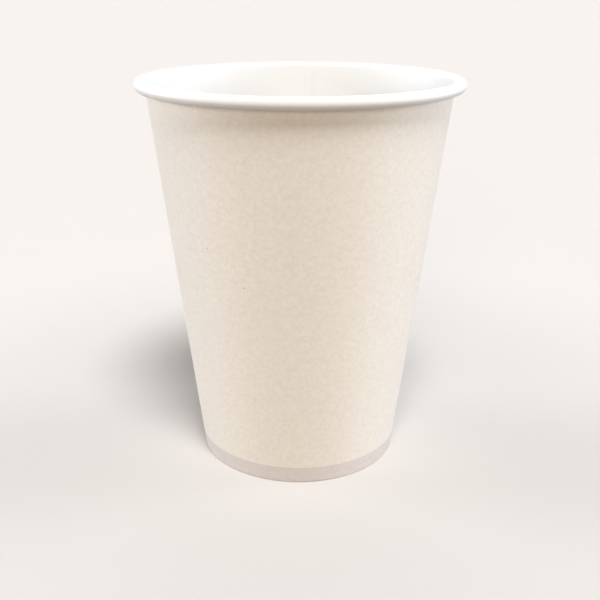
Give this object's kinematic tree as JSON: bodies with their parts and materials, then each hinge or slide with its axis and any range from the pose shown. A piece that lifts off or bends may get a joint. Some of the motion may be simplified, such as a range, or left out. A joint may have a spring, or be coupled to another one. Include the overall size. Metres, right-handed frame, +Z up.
{
  "type": "paper cup",
  "caption": "Plain single-wall paper cup for hot drinks: a tapered board cone with an outward rolled rim, a lapped side seam and a recessed bottom disc held in the folded lower edge.",
  "frame": {"origin": "centre of the standing edge, on the surface that the cup stands on", "axes": "+Z up along the cup's axis to the mouth; the side seam is at +Y, at the back of the pictured view"},
  "size_m": [0.09, 0.09, 0.11],
  "materials": {
    "wall_board": "matte",
    "disc_board": "matte"
  },
  "bodies": {
    "root": {"cup_wall": "wall_board", "bottom_disc": "disc_board"}
  },
  "joints": []
}
